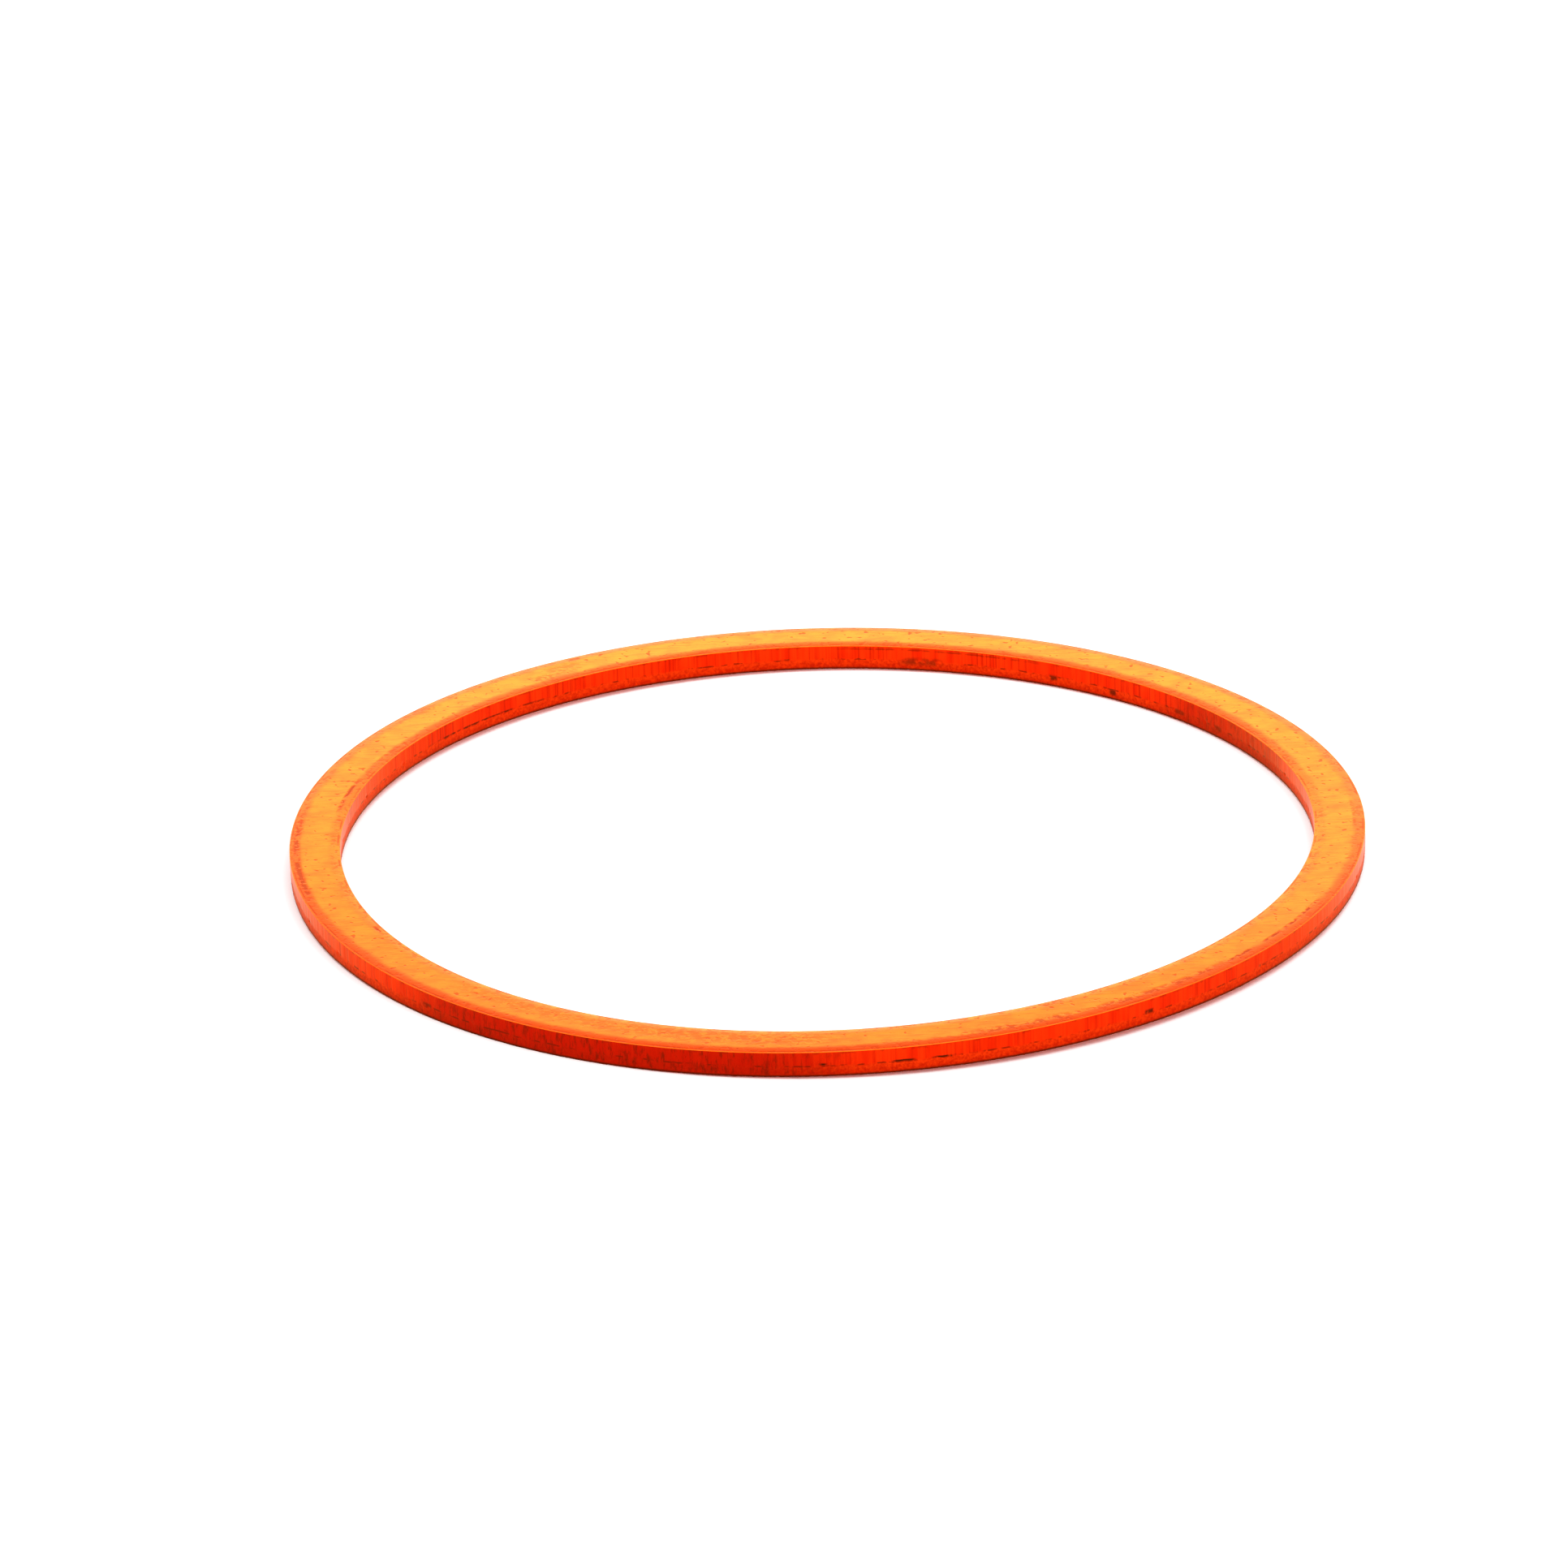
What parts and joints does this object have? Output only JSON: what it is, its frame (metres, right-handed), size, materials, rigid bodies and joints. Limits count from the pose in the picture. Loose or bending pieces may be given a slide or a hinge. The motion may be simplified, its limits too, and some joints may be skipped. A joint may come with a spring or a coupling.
{
  "type": "flat sealing ring",
  "caption": "Thin, flat, one-piece copper sealing ring blanked from sheet, with rolled upper edges and straight cut walls, clamped between two faces as a gasket.",
  "frame": {"origin": "centre of the ring's flat lower face, on its axis, where it rests on a surface", "axes": "+Z along the ring's axis, from the lower face towards the upper face whose edges are rolled; X and Y are any two directions in the plane of the ring"},
  "size_m": [0.0998, 0.0998, 0.0025],
  "materials": {
    "copper": "satin cold-rolled copper sheet, with bright sheared walls and a matt torn band below"
  },
  "bodies": {
    "root": {"sealing_ring": "copper"}
  },
  "joints": []
}
